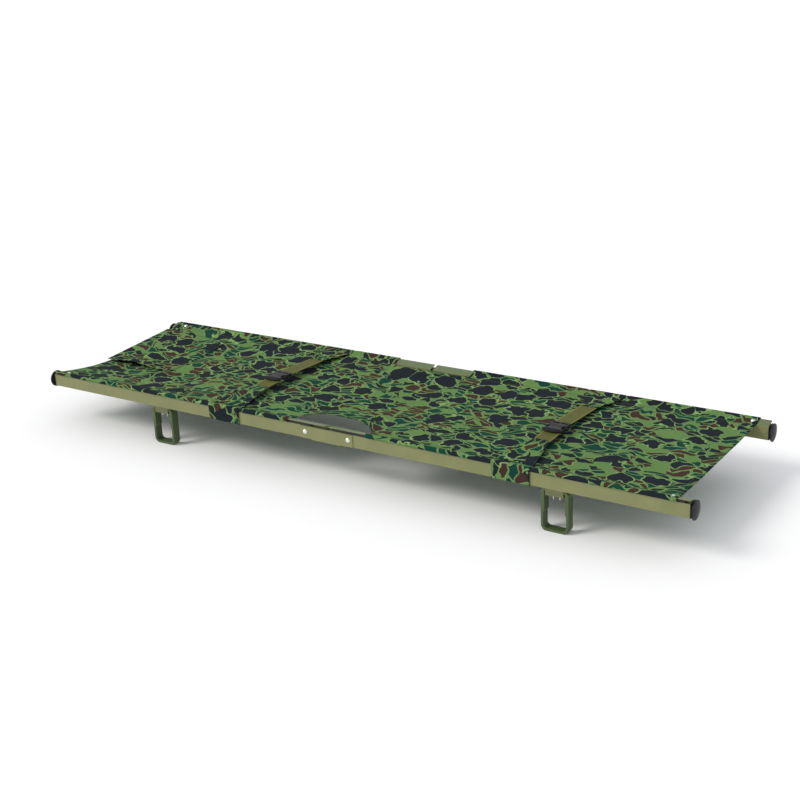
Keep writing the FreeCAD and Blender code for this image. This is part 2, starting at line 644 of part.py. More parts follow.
def make_buckle(end_name, end):
    """A side-release buckle: a hollow socket with side windows, and a tongue with two prongs."""
    middle = f"{end} * size.{end_name}_strap_x"
    front = "(-size.outer_face + size.buckle_front)"
    low, tall = above("size.buckle_low"), "(size.buckle_high - size.buckle_low)"

    body = make_body(end_name + "_buckle_socket")
    plan = draw(body, "XY_Plane", low)
    rectangle(plan, (f"{middle} - size.buckle_half", front),
              (f"{middle} + size.buckle_half", f"{front} + size.socket_length"))
    pad(body, plan, tall)
    centre = end * DIMENSIONS[end_name + "_strap_x"]
    lip = -DIMENSIONS["outer_face"] + DIMENSIONS["buckle_front"]
    fillet(body, "size.buckle_corner",
           lambda edge: abs(edge.Vertexes[0].Z - edge.Vertexes[-1].Z) > TOUCH
           and edge.Vertexes[0].Y < lip + TOUCH)
    # the mouth that takes the tongue
    cavity = draw(body, "XZ_Plane", f"-({front} + size.socket_length)")
    reach = "size.buckle_half - size.buckle_wall"
    rectangle(cavity, (f"{middle} - ({reach})", f"{low} + size.buckle_wall"),
              (f"{middle} + ({reach})", f"{low} + {tall} - size.buckle_wall"))
    bar = "size.bar_gap + 2 * size.bar_thick"
    pocket(body, cavity, f"size.socket_length - ({bar})", upward=True)
    # the windows at the sides and the slot that the webbing passes through
    windows = draw(body, "XY_Plane", low)
    for way in (-1, 1):
        rectangle(windows, (f"{middle} + {way} * (size.buckle_half - size.window_depth)",
                            f"{front} + {bar} + size.window_start"),
                  (f"{middle} + {way} * (size.buckle_half + size.cut_spare)",
                   f"{front} + {bar} + size.window_start + size.window_length"))
    slot_half = "(size.web_half + size.slot_spare)"
    rectangle(windows, (f"{middle} - {slot_half}", f"{front} + size.bar_thick"),
              (f"{middle} + {slot_half}", f"{front} + size.bar_thick + size.bar_gap"))
    pocket(body, windows)

    clear = "(size.buckle_wall + size.tongue_clear)"
    depth = f"{tall} - 2 * {clear}"
    mouth = f"({front} + size.socket_length)"
    root = f"({front} + {bar} + size.tongue_clear)"
    back = "(-size.outer_face + size.buckle_back)"
    tongue = make_body(end_name + "_buckle_tongue")
    plan = draw(tongue, "XY_Plane", f"{low} + {clear}")
    arm, rib = f"(size.buckle_half - {clear})", "size.prong_back"
    thick, thin = "size.prong_root", "size.prong_tip"
    loop = [(f"-{arm}", root), (f"-{arm} + {thick}", root),
            (f"-{arm} + {thin}", f"{mouth} - {rib}"), (f"-{rib}", f"{mouth} - {rib}"),
            (f"-{rib}", f"{root} + {rib}"), (rib, f"{root} + {rib}"), (rib, f"{mouth} - {rib}"),
            (f"{arm} - {thin}", f"{mouth} - {rib}"), (f"{arm} - {thick}", root), (arm, root),
            (arm, back), (f"-{arm}", back)]
    outline(plan, [(f"{middle} + {x}", y) for x, y in loop])
    pad(tongue, plan, depth)
    slot = draw(tongue, "XY_Plane", low)
    rectangle(slot, (f"{middle} - {slot_half}", f"{back} - size.bar_thick - size.bar_gap"),
              (f"{middle} + {slot_half}", f"{back} - size.bar_thick"))
    pocket(tongue, slot)


def make_strap(end_name, end):
    for side_name, side in SIDES.items():
        make_sleeve(f"{end_name}_{side_name}_strap_sleeve", end_name, end, side)
    near = web_half(f"{end_name}_near_web", end_name, end, -1, "size.front_taper_end",
                    "size.buckle_front - size.tongue_clear")
    far = web_half(f"{end_name}_far_web", end_name, end, 1, "size.back_taper_end",
                   "2 * size.outer_face - size.buckle_back - size.tongue_clear")
    keep(group([near, far]), end_name + "_strap_webbing")
    make_buckle(end_name, end)


# ---- the whole stretcher ----

for end_name, end in ENDS.items():
    for side_name, side in SIDES.items():
        quarter = f"{end_name}_{side_name}"
        rise = f"size.{side_name}_arm_rise"
        make_rail(quarter, end, side)
        make_leg(quarter, end, side)
        make_leg_bracket(quarter, end, side)
        make_fasteners(quarter, end, side)
        make_end_cap(quarter, end, side)
        make_keder_rod(quarter, end, side)
        make_hem(quarter, end, side)
        make_spreader_bracket(quarter, end, side, rise)
        # the foot end's back pivot closes the frame's loop, so it has room to spare
        closing = end > 0 and side > 0
        make_arm(f"{quarter}_spreader_arm", end, side, rise,
                 "size.open_pivot_hole" if closing else "size.pin_hole")
    make_knuckle_pin(end_name, end)
    make_strap(end_name, end)
for side_name, side in SIDES.items():
    make_link(side_name, side)
    make_link_rivets(side_name, side)
make_canvas()

doc.recompute()
for item in doc.Objects:
    if "Invalid" in item.State or "Error" in item.State:
        raise ValueError(f"{item.Label} failed: {item.State}")
for label, piece in nodes.items():
    if piece.Shape.isNull() or not piece.Shape.isValid():
        raise ValueError(f"{label} has no valid shape")
for label, piece in sorted(nodes.items()):
    piece.Shape.exportStep(f"parts/{label}.step")
print(len(nodes), "sub-parts written")
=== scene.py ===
import json
import math

import bpy
from mathutils import Matrix, Vector, noise


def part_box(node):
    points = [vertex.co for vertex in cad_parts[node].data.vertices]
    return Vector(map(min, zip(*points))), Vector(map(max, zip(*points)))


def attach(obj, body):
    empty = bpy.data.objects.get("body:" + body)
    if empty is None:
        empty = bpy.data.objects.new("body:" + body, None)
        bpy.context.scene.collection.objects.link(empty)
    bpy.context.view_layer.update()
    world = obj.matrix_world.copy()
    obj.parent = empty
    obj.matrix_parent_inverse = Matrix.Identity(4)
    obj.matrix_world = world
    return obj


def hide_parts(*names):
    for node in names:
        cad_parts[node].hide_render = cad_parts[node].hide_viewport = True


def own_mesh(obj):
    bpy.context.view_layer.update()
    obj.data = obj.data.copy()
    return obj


# A folding stretcher: camouflage canvas on olive rails. Metres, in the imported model's frame.
# +X runs to the foot end, +Y to the back rail.

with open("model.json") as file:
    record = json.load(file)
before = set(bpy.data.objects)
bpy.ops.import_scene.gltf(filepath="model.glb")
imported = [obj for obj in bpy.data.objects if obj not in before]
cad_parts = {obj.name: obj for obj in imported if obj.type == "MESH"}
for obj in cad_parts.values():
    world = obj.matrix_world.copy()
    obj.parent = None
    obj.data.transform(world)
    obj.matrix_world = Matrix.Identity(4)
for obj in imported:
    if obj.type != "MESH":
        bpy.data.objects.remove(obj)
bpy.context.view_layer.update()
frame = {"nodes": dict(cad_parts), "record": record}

ENDS = {"head": -1, "foot": 1}
SIDES = {"front": -1, "back": 1}

# ---- places taken from the frame ----

rail_low, rail_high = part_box("foot_back_rail")
RAIL_UNDER, FLANGE_HIGH = rail_low.z, rail_high.z
OUTER = rail_high.y
RAIL_WIDTH = rail_high.y - rail_low.y
deck_low, deck_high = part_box("canvas_head")
DECK_TOP, DECK_HALF = deck_high.z, deck_high.y
HEAD_EDGE = deck_low.x
FOOT_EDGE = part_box("canvas_foot")[1].x
CUTOUT_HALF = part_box("foot_back_canvas_hem")[0].x     # the hems start where the hand cut-outs end
pocket_low, pocket_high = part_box("pillow_pocket")

# ---- sizes of the soft pieces ----

FLANGE_FALL = 0.008                   # how far the rail's flange drops from its outer to its inner edge
CANVAS = 0.0011                       # thickness of the canvas
CUTOUT_DEPTH = 0.080                  # how far a hand cut-out reaches in from the rail's outer face
CUTOUT_FULLNESS = 2.6                 # 2 would make its outline an ellipse, and more makes it squarer
LIP_RISE = {"front": 0.0120, "back": 0.0165}    # how the free edge of a hand cut-out curls up
LIP_REACH, LIP_FULLNESS = 0.10, 3     # how far in the curl starts, and how even it is along the edge
HEAD_SAG, MIDDLE_SAG, FOOT_SAG = 0.026, 0.006, 0.003    # at mid width
SOFT_CREASE, FINE_CREASE = 0.0022, 0.0009       # heights of the deck's waves
FOLD_WIDTH, FOLD_RISE = 0.018, 0.0006   # the turned-in border of a sheet, and how much thicker it is
FOLD_STEP = 0.0015                    # over what width a border's extra thickness fades
EDGE_FOLD = 0.0095                    # width of the border along the deck's long edges
EDGE_SEAMS = (0.0045, 0.0085)         # the two seams in it, as distances from the edge
THREAD_LIFT = 0.0001                  # how far stitches start above the cloth
SEAM_STOP = 0.002                     # how far a seam stops short of the sheet's edge
HEM_OVER = 0.0013                     # top of the hem above the flange
HEM_ROLL, HEM_ROLL_HIGH = 0.0076, 0.0069        # half width and half height of the hem's roll
HEM_ROLL_INSET, HEM_ROLL_RISE = 0.0016, 0.0448  # its middle, from the rail's outer face and underside
HEM_PRESS = 0.5                       # share of the roll that a sleeve presses away
HEM_RIPPLE = 0.0008                   # depth of the ripples along the roll
SLEEVE_OVER = 0.0028                  # top of the sleeve above the flange
SLEEVE_PUFF = 0.0009                  # how far its outer face stands off in places
SLEEVE_PRINT, STRAP_PRINT = (0.74, 0.38), (0.31, 0.17)    # where on the print they are cut, a quarter turned
SPLIT = 0.075                         # the hinge pivots, where the canvas folds
PIN_RISE = 0.020                      # of those pivots, above the rails' underside
GUSSET_INSET, GUSSET_GAP = 0.062, 0.0018        # how far a gusset stays inside the cut-outs, under the deck
GUSSET_TURN = 88                      # degrees that it goes round the pivot
buckle_boxes = {end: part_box(f"{end}_buckle_socket") for end in ENDS}
STRAP_X = {end: (low.x + high.x) / 2 for end, (low, high) in buckle_boxes.items()}
BUCKLE_FRONT = buckle_boxes["head"][0].y
BUCKLE_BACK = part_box("head_buckle_tongue")[1].y
SLEEVE_HALF, WEB_HALF, WEB_THICK = 0.057, 0.025, 0.0016
STRAP_REACH = 0.026                   # where a strap leaves its sleeve, inside the rail's outer face
STRAP_OVER = 0.0018                   # its top above the sleeve's there
FRONT_TAPER_END, BACK_TAPER_END = -OUTER + 0.180, OUTER - 0.130
FRONT_WEB_RISE, BACK_WEB_RISE = 0.0562, 0.0600    # a strap's top at its buckle, above the rails' underside
SEWN_IN = 0.03                        # how far the webbing reaches under a canvas flap
TAIL_LENGTH = 0.05                    # of the doubled-back webbing in front of the buckle
TAIL_SEAMS = (0.014, 0.018)           # its seams, as distances from the buckle
TONGUE_LOOP = 0.0145                  # how far the back webbing reaches into the tongue's slots
SELVEDGE = 0.0035                     # width of the webbing's thicker, lighter edges
WEB_WAVE = 0.0006                     # height of its slow waves

# ---- camera ----

CAMERA_PLACE = (2.1912, -3.1815, 1.4505 + RAIL_UNDER)
CAMERA_YAW, CAMERA_PITCH, CAMERA_ROLL = 33.862, 20.24, -2.61
FOCAL_LENGTH, SENSOR = 61.44, 36.0

# ---- light ----

SKY_STRENGTH, SUN_STRENGTH, SUN_SPREAD = 0.82, 1.6, 24
SUN_FROM = (-0.75, -0.85, 1.0)
SUN_COLOUR = (1.0, 0.95, 0.86)
FLOOR_COLOUR = (0.90, 0.915, 0.95)


def add_camera():
    yaw, pitch, roll = (math.radians(angle) for angle in (CAMERA_YAW, CAMERA_PITCH, CAMERA_ROLL))
    forward = Vector((-math.sin(yaw) * math.cos(pitch), math.cos(yaw) * math.cos(pitch), -math.sin(pitch)))
    level = Vector((math.cos(yaw), math.sin(yaw), 0))
    up = level.cross(forward)
    right = level * math.cos(roll) + up * math.sin(roll)
    up = up * math.cos(roll) - level * math.sin(roll)
    turn = Matrix((right, up, -forward)).transposed()
    data = bpy.data.cameras.new("camera")
    data.lens = FOCAL_LENGTH
    data.sensor_width = SENSOR
    camera = bpy.data.objects.new("camera", data)
    camera.location = CAMERA_PLACE
    camera.rotation_euler = turn.to_euler()
    bpy.context.scene.collection.objects.link(camera)
    bpy.context.scene.camera = camera


# ---- shader helpers ----

def add_node(tree, kind, inputs=None, **settings):
    """A shader node. An input given as a socket is linked, and any other is set."""
    made = tree.nodes.new(kind)
    for name, value in settings.items():
        setattr(made, name, value)
    for name, value in (inputs or {}).items():
        if isinstance(value, bpy.types.NodeSocket):
            tree.links.new(value, made.inputs[name])
        else:
            made.inputs[name].default_value = value
    return made


def calc(tree, operation, first, second=0.0, third=0.0):
    return add_node(tree, "ShaderNodeMath", {0: first, 1: second, 2: third}, operation=operation).outputs[0]


def step_up(tree, value, low, high):
    """0 below low, 1 above high, and smooth between them."""
    made = add_node(tree, "ShaderNodeMapRange", {"Value": value, "From Min": low, "From Max": high},
                    interpolation_type="SMOOTHSTEP")
    return made.outputs["Result"]


def spread(tree, value, low, high):
    """A 0 to 1 value moved to run from low to high."""
    made = add_node(tree, "ShaderNodeMapRange", {"Value": value, "To Min": low, "To Max": high})
    return made.outputs["Result"]


def colour(rgb):
    return (*rgb, 1.0)


def grey(tree, level):
    return add_node(tree, "ShaderNodeCombineColor", {0: level, 1: level, 2: level}).outputs[0]


def mix(tree, share, first, second, blend="MIX"):
    made = tree.nodes.new("ShaderNodeMix")
    made.data_type = "RGBA"
    made.blend_type = blend
    for socket, value in ((made.inputs[0], share), (made.inputs[6], first), (made.inputs[7], second)):
        if isinstance(value, bpy.types.NodeSocket):
            tree.links.new(value, socket)
        else:
            socket.default_value = value if isinstance(value, float) else colour(value)
    return made.outputs[2]


def scaled(tree, vector, scale, offset=(0, 0, 0)):
    moved = add_node(tree, "ShaderNodeVectorMath", {0: vector, 1: scale}, operation="MULTIPLY").outputs[0]
    return add_node(tree, "ShaderNodeVectorMath", {0: moved, 1: offset}, operation="ADD").outputs[0]


def fine_noise(tree, vector, scale, detail=2.0, rough=0.5):
    return add_node(tree, "ShaderNodeTexNoise",
                    {"Vector": vector, "Scale": scale, "Detail": detail, "Roughness": rough})


def waves(tree, vector, pitch, direction):
    """Bands of a given pitch in metres."""
    scale = 2 * math.pi / (20 * pitch)
    return add_node(tree, "ShaderNodeTexWave", {"Vector": vector, "Scale": scale},
                    wave_type="BANDS", bands_direction=direction).outputs["Fac"]


def bump(tree, height, distance, strength=1.0, under=None):
    made = add_node(tree, "ShaderNodeBump", {"Height": height, "Distance": distance, "Strength": strength})
    if under is not None:
        tree.links.new(under, made.inputs["Normal"])
    return made.outputs["Normal"]


def new_material(name, roughness, metallic=0.0, gloss=0.5):
    material = bpy.data.materials.new(name)
    material.use_nodes = True
    tree = material.node_tree
    shader = tree.nodes["Principled BSDF"]
    shader.inputs["Roughness"].default_value = roughness
    shader.inputs["Metallic"].default_value = metallic
    shader.inputs["Specular IOR Level"].default_value = gloss
    return material, tree, shader


def set_surface(tree, shader, base=None, roughness=None, normal=None):
    for name, value in (("Base Color", base), ("Roughness", roughness), ("Normal", normal)):
        if value is not None:
            tree.links.new(value, shader.inputs[name])


# ---- materials ----

CAMO_BASE = (0.110, 0.208, 0.068)
CAMO_LIGHT = (0.205, 0.345, 0.118)
CAMO_CHARCOAL = (0.012, 0.018, 0.024)
CAMO_BROWN = (0.052, 0.027, 0.021)
CAMO_TEAL = (0.006, 0.048, 0.034)


def pushed(tree, vector, scale, amount, offset):
    """Pushes a flat pattern about, so that its outlines wander."""
    texture = fine_noise(tree, scaled(tree, vector, (1, 1, 1), offset), scale, 1.5, 0.5)
    push = add_node(tree, "ShaderNodeVectorMath", {0: texture.outputs["Color"], 1: (0.5, 0.5, 0.5)},
                    operation="SUBTRACT").outputs[0]
    return add_node(tree, "ShaderNodeVectorMath", {0: scaled(tree, push, amount), 1: vector},
                    operation="ADD").outputs[0]


def blotches(tree, vector, cells, reach, share, offset):
    """Above 0 inside a blotch. cells is how many fit in a metre each way."""
    cell = add_node(tree, "ShaderNodeTexVoronoi", {"Vector": scaled(tree, vector, (*cells, 1), offset),
                                                   "Scale": 1.0, "Randomness": 0.8},
                    voronoi_dimensions="2D", feature="F1")
    parts = add_node(tree, "ShaderNodeSeparateColor", {"Color": cell.outputs["Color"]})
    radius = spread(tree, parts.outputs[0], reach * 0.7, reach * 1.3)
    shown = calc(tree, "LESS_THAN", parts.outputs[1], share)
    radius = calc(tree, "MULTIPLY_ADD", calc(tree, "SUBTRACT", shown, 1.0), 2.0, radius)
    return calc(tree, "SUBTRACT", radius, cell.outputs["Distance"])


def leaves(tree, vector, cells, gap, absent, offset):
    """Close-packed pointed shapes. Gives a field, above 0 inside a shape, and a random ink."""
    place = scaled(tree, vector, (*cells, 1), offset)
    edge = add_node(tree, "ShaderNodeTexVoronoi", {"Vector": place, "Scale": 1.0, "Randomness": 1.0},
                    voronoi_dimensions="2D", feature="DISTANCE_TO_EDGE")
    cell = add_node(tree, "ShaderNodeTexVoronoi", {"Vector": place, "Scale": 1.0, "Randomness": 1.0},
                    voronoi_dimensions="2D", feature="F1")
    parts = add_node(tree, "ShaderNodeSeparateColor", {"Color": cell.outputs["Color"]})
    left_out = calc(tree, "LESS_THAN", parts.outputs[1], absent)
    field = calc(tree, "SUBTRACT", calc(tree, "SUBTRACT", edge.outputs["Distance"], gap), left_out)
    pick = parts.outputs[0]
    ink = mix(tree, calc(tree, "GREATER_THAN", pick, 0.42), CAMO_CHARCOAL, CAMO_BROWN)
    ink = mix(tree, calc(tree, "GREATER_THAN", pick, 0.66), ink, CAMO_TEAL)
    return field, ink


def camo_colour(tree, vector):
    """Layers of ink on green, each shape with a lighter outline."""
    bent = pushed(tree, vector, 9.0, (0.090, 0.110, 0), (3.1, 1.7, 0))
    bent = pushed(tree, bent, 32.0, (0.038, 0.036, 0), (1.3, 8.9, 0))
    ragged = pushed(tree, vector, 26.0, (0.085, 0.075, 0), (7.3, 5.9, 0))
    small, ink = leaves(tree, bent, (21, 44), 0.090, 0.14, (11.7, 2.6, 0))
    large = blotches(tree, ragged, (10.5, 12.5), 0.34, 0.60, (0.3, 0.1, 0))
    painted = CAMO_BASE
    for field, rim, edge, colour_in in ((small, 0.032, 0.010, ink), (large, 0.045, 0.012, CAMO_CHARCOAL)):
        painted = mix(tree, step_up(tree, field, -rim - edge, -rim + edge), painted, CAMO_LIGHT)
        painted = mix(tree, step_up(tree, field, -edge, edge), painted, colour_in)
    return painted


def weave(tree, vector, pitch):
    """Height of a plain weave: two sets of threads that pass over each other."""
    warp_threads, weft_threads = waves(tree, vector, pitch, "X"), waves(tree, vector, pitch, "Y")
    return calc(tree, "MAXIMUM", warp_threads, weft_threads)


def rest_place(tree):
    """The pattern's place, in metres on the unfolded cloth."""
    return add_node(tree, "ShaderNodeUVMap", uv_map="cloth").outputs["UV"]


THREAD_PITCH = 0.0011                 # of the canvas
RIB_PITCH, PICK_PITCH = 0.0022, 0.0016    # of the webbing, across it and along it


def canvas_material():
    material, tree, shader = new_material("camo_canvas", 0.85, gloss=0.06)
    place = rest_place(tree)
    painted = camo_colour(tree, place)
    cloudy = fine_noise(tree, place, 6.0, 3.0).outputs["Fac"]
    worn = mix(tree, 1.0, painted, grey(tree, spread(tree, cloudy, 0.86, 1.14)), "MULTIPLY")
    cloth = weave(tree, place, THREAD_PITCH)
    # painted shade: the colour is darkened where the weave is low, in the recesses between the threads
    threads = calc(tree, "MULTIPLY_ADD", cloth, 0.16, 0.86)
    final = mix(tree, 1.0, worn, grey(tree, threads), "MULTIPLY")
    ripple = fine_noise(tree, place, 38.0, 3.0).outputs["Fac"]
    normal = bump(tree, cloth, 0.0002, 0.6, bump(tree, ripple, 0.0012, 0.5))
    rough = spread(tree, fine_noise(tree, place, 90.0).outputs["Fac"], 0.74, 0.92)
    set_surface(tree, shader, final, rough, normal)
    return material


def webbing_material():
    material, tree, shader = new_material("olive_webbing", 0.7, gloss=0.25)
    place = rest_place(tree)
    ribs = waves(tree, place, RIB_PITCH, "Y")
    fine = waves(tree, place, PICK_PITCH, "X")
    height = calc(tree, "MULTIPLY_ADD", fine, 0.5, ribs)
    tint = fine_noise(tree, place, 60.0, 3.0).outputs["Fac"]
    base = mix(tree, tint, (0.074, 0.082, 0.012), (0.125, 0.130, 0.028))
    selvedge = add_node(tree, "ShaderNodeAttribute", attribute_name="selvedge").outputs["Fac"]
    base = mix(tree, calc(tree, "MULTIPLY", selvedge, 0.8), base, (0.230, 0.215, 0.050))
    # painted shade: the colour is darkened in the grooves between the ribs
    rib_shade = calc(tree, "MULTIPLY_ADD", ribs, 0.3, 0.75)
    final = mix(tree, 1.0, base, grey(tree, rib_shade), "MULTIPLY")
    set_surface(tree, shader, final, None, bump(tree, height, 0.0004, 0.7))
    return material


def thread_material():
    material, tree, shader = new_material("sewing_thread", 0.6, gloss=0.25)
    place = add_node(tree, "ShaderNodeTexCoord").outputs["Object"]
    tint = fine_noise(tree, place, 300.0).outputs["Fac"]
    set_surface(tree, shader, mix(tree, tint, (0.10, 0.16, 0.05), (0.17, 0.24, 0.09)))
    return material


def edge_wear(tree, radius=0.0009):
    """1 along sharp edges, broken up by noise."""
    place = add_node(tree, "ShaderNodeTexCoord").outputs["Object"]
    rounded_normal = add_node(tree, "ShaderNodeBevel", {"Radius": radius}, samples=4).outputs["Normal"]
    flat = add_node(tree, "ShaderNodeNewGeometry").outputs["Normal"]
    agree = add_node(tree, "ShaderNodeVectorMath", {0: rounded_normal, 1: flat}, operation="DOT_PRODUCT")
    edge = step_up(tree, calc(tree, "SUBTRACT", 1.0, agree.outputs["Value"]), 0.02, 0.16)
    broken = step_up(tree, fine_noise(tree, place, 120.0, 3.0, 0.65).outputs["Fac"], 0.50, 0.68)
    return calc(tree, "MULTIPLY", edge, broken)


def painted_material(name, low, high, rough, worn=(0.42, 0.42, 0.36), upper=None):
    """Paint with scuffs. Upper is a painted shade: a darker, greener colour on faces that look up, standing
    in for how light falls on them.
    """
    material, tree, shader = new_material(name, rough)
    coordinates = add_node(tree, "ShaderNodeTexCoord")
    place = coordinates.outputs["Object"]
    cloudy = fine_noise(tree, place, 14.0, 4.0, 0.6).outputs["Fac"]
    grain = fine_noise(tree, place, 900.0, 2.0).outputs["Fac"]
    scuffs = fine_noise(tree, scaled(tree, place, (6, 60, 60)), 4.0, 4.0, 0.7).outputs["Fac"]
    base = mix(tree, cloudy, low, high)
    if upper:
        # painted shade: faces that look up get the darker, greener upper colour for the light that falls on
        # them, not a second paint
        facing = add_node(tree, "ShaderNodeSeparateXYZ", {"Vector": coordinates.outputs["Normal"]})
        top_shade_mask = step_up(tree, facing.outputs["Z"], 0.4, 0.9)
        base = mix(tree, calc(tree, "MULTIPLY", top_shade_mask, 0.8), base, upper)
    scuffed = mix(tree, calc(tree, "MULTIPLY", step_up(tree, scuffs, 0.62, 0.74), 0.35), base, worn)
    final = mix(tree, calc(tree, "MULTIPLY", edge_wear(tree), 0.75), scuffed, worn)
    roughness = calc(tree, "MULTIPLY_ADD", cloudy, 0.18, rough - 0.09)
    soft_edge = add_node(tree, "ShaderNodeBevel", {"Radius": 0.0007}, samples=4).outputs["Normal"]
    normal = bump(tree, grain, 0.00006, 0.5, soft_edge)
    set_surface(tree, shader, final, roughness, normal)
    return material


def steel_material():
    material, tree, shader = new_material("bright_steel", 0.25, metallic=1.0)
    place = add_node(tree, "ShaderNodeTexCoord").outputs["Object"]
    haze = fine_noise(tree, place, 160.0, 3.0).outputs["Fac"]
    base = mix(tree, haze, (0.70, 0.70, 0.68), (0.90, 0.90, 0.88))
    scratch = fine_noise(tree, scaled(tree, place, (1, 1, 9)), 500.0, 2.0).outputs["Fac"]
    set_surface(tree, shader, base, spread(tree, haze, 0.18, 0.38), bump(tree, scratch, 0.00003, 0.4))
    return material


def plastic_material(name, low, high, rough, grain_size=700.0):
    material, tree, shader = new_material(name, rough, gloss=0.14)
    place = add_node(tree, "ShaderNodeTexCoord").outputs["Object"]
    cloudy = fine_noise(tree, place, 40.0, 3.0).outputs["Fac"]
    grain = fine_noise(tree, place, grain_size, 2.0).outputs["Fac"]
    base = mix(tree, cloudy, low, high)
    final = mix(tree, calc(tree, "MULTIPLY", edge_wear(tree, 0.0006), 0.35), base, (0.12, 0.12, 0.13))
    soft_edge = add_node(tree, "ShaderNodeBevel", {"Radius": 0.0006}, samples=4).outputs["Normal"]
    set_surface(tree, shader, final, spread(tree, cloudy, rough - 0.07, rough + 0.1),
                bump(tree, grain, 0.00005, 0.5, soft_edge))
    return material


MATERIALS = {
    "camo_canvas": canvas_material(),
    "olive_webbing": webbing_material(),
    "thread": thread_material(),
    # the rails' paint is one colour all round; the upper colour below is painted shade on their faces that
    # look up
    "rail_paint": painted_material("rail_paint", (0.135, 0.160, 0.058), (0.232, 0.232, 0.092), 0.42,
                                   upper=(0.072, 0.122, 0.045)),
    "leg_paint": painted_material("leg_paint", (0.040, 0.066, 0.020), (0.070, 0.102, 0.032), 0.45,
                                  (0.16, 0.20, 0.10)),
    "arm_paint": painted_material("arm_paint", (0.085, 0.100, 0.038), (0.130, 0.140, 0.055), 0.5),
    "bright_steel": steel_material(),
    "buckle_plastic": plastic_material("buckle_plastic", (0.006, 0.006, 0.008), (0.012, 0.012, 0.015), 0.36),
    "cap_plastic": plastic_material("cap_plastic", (0.012, 0.012, 0.015), (0.021, 0.021, 0.025), 0.42),
    "keder_cord": plastic_material("keder_cord", (0.030, 0.028, 0.036), (0.050, 0.046, 0.058), 0.5, 400.0),
}


def finish_cad_nodes():
    """Gives every carried-over CAD node the detailed material of its slot."""
    slots = {part["node"]: part["material_slot"] for part in frame["record"]["subparts"]}
    for name, node in frame["nodes"].items():
        node.data.materials.clear()
        node.data.materials.append(MATERIALS[slots[name]])


# ---- meshes ----

def ease(value):
    """0 to 1 with level ends."""
    value = min(max(value, 0.0), 1.0)
    return value * value * (3 - 2 * value)


def between(start, stop, count):
    return [start + (stop - start) * i / count for i in range(count + 1)]


def add_piece(name, vertices, faces, material, places=None, smooth=True):
    """A mesh. Cloth has a UV map too, with each point's place on the unfolded sheet."""
    mesh = bpy.data.meshes.new(name)
    mesh.from_pydata(vertices, [], faces)
    if places:
        layer = mesh.uv_layers.new(name="cloth")
        for loop in mesh.loops:
            layer.data[loop.index].uv = places[loop.vertex_index]
    mesh.materials.append(MATERIALS[material])
    mesh.polygons.foreach_set("use_smooth", [smooth] * len(mesh.polygons))
    mesh.update()
    piece = bpy.data.objects.new(name, mesh)
    bpy.context.scene.collection.objects.link(piece)
    return piece


def thicken(piece, thickness):
    solid = piece.modifiers.new("thickness", "SOLIDIFY")
    solid.thickness = thickness
    solid.offset = -1.0
    return piece


def crumple(piece):
    """Gives a soft piece its own copy of its mesh; no point is moved."""
    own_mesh(piece)


def add_cloth(name, grid, places, body, replaced=(), slot="camo_canvas",
              thickness=CANVAS, crumples=True):
    """A sheet from rows of points: the rows follow each other along +X, and a row runs along +Y."""
    columns = len(grid[0])
    faces = [(r * columns + c, (r + 1) * columns + c, (r + 1) * columns + c + 1, r * columns + c + 1)
             for r in range(len(grid) - 1) for c in range(columns - 1)]
    vertices = [point for row in grid for point in row]
    piece = add_piece(name, vertices, faces, slot, [place for row in places for place in row])
    thicken(piece, thickness)
    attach(piece, body)
    if crumples:
        crumple(piece)
    if replaced:
        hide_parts(*replaced)
    return piece


def rounded(corners, radius, steps=5):
    """A flat path through corners, each turned into an arc."""
    path = [Vector(corners[0])]
    for before, corner, after in zip(corners, corners[1:], corners[2:]):
        before, corner, after = Vector(before), Vector(corner), Vector(after)
        back, ahead = (before - corner).normalized(), (after - corner).normalized()
        half_turn = (math.pi - back.angle(ahead)) / 2
        trim = min(radius * math.tan(half_turn), (before - corner).length / 2, (after - corner).length / 2)
        middle = corner + (back + ahead).normalized() * trim / math.sin(half_turn)
        start, stop = corner + back * trim - middle, corner + ahead * trim - middle
        for i in range(steps + 1):
            angle = 2 * half_turn * i / steps
            path.append(middle + (start * math.sin(2 * half_turn - angle) + stop * math.sin(angle))
                        / math.sin(2 * half_turn))
    path.append(Vector(corners[-1]))
    return path


# ---- stitches ----

STITCH_LENGTH, STITCH_PITCH, STITCH_WIDTH, STITCH_RISE = 0.0034, 0.0044, 0.0009, 0.0005


def stitch_row(path, up=(0, 0, 1)):
    """Vertices and faces of a row of stitches along a path."""
    vertices, faces = [], []
    up = Vector(up)
    travelled, due = 0.0, STITCH_PITCH / 2
    for start, stop in zip(path, path[1:]):
        start, stop = Vector(start), Vector(stop)
        span = (stop - start).length
        while span > 0 and due < travelled + span:
            middle = start.lerp(stop, (due - travelled) / span)
            along = (stop - start).normalized() * STITCH_LENGTH / 2
            across = along.cross(up).normalized() * STITCH_WIDTH / 2
            first = len(vertices)
            vertices += [middle - along, middle + across, middle + along, middle - across,
                         middle + up * STITCH_RISE]
            faces += [(first + a, first + b, first + 4) for a, b in ((0, 1), (1, 2), (2, 3), (3, 0))]
            faces.append((first + 3, first + 2, first + 1, first))
            due += STITCH_PITCH
        travelled += span
    return vertices, faces


def add_stitches(name, rows, body, crumples=True):
    """rows holds paths, or pairs of a path and the direction that its surface faces."""
    vertices, faces = [], []
    for row in rows:
        made, joined = stitch_row(*row) if isinstance(row, tuple) else stitch_row(row)
        faces += [tuple(i + len(vertices) for i in face) for face in joined]
        vertices += made
    piece = add_piece(name, vertices, faces, "thread")
    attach(piece, body)
    if crumples:
        crumple(piece)
    return piece


# ---- the deck ----

def flange_z(inward):
    """Top of the rail's sloping flange, a distance inside its outer face."""
    return FLANGE_HIGH - FLANGE_FALL * inward / RAIL_WIDTH


